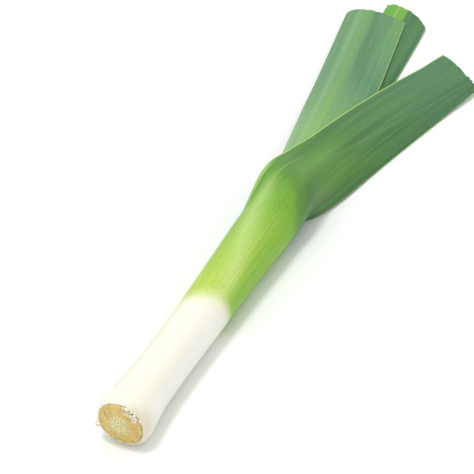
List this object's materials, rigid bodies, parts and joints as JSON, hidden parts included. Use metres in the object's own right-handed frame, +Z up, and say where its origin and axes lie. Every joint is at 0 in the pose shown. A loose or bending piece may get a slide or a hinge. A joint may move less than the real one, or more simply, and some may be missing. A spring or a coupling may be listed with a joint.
{
  "type": "leek",
  "caption": "Trimmed leek lying on its side: a round white shank with a rooted end that turns green and opens into long flat leaves.",
  "frame": {"origin": "on the surface the leek lies on, at the middle of the narrow flat strip under its shank", "axes": "+X along the shank from the root end towards the leaves, +Z up, +Y to the left seen from the root end"},
  "size_m": [0.5841, 0.1454, 0.0475],
  "materials": {
    "root_plate": "dry fibrous plant tissue",
    "shank": "smooth moist plant tissue",
    "leaf_outer": "waxy leaf",
    "leaf_middle": "waxy leaf with a silvery bloom",
    "leaf_inner": "waxy leaf"
  },
  "bodies": {
    "root": {"root_plate": "root_plate", "shank": "shank", "leaf_outer": "leaf_outer", "leaf_middle": "leaf_middle", "leaf_inner": "leaf_inner"}
  },
  "joints": []
}
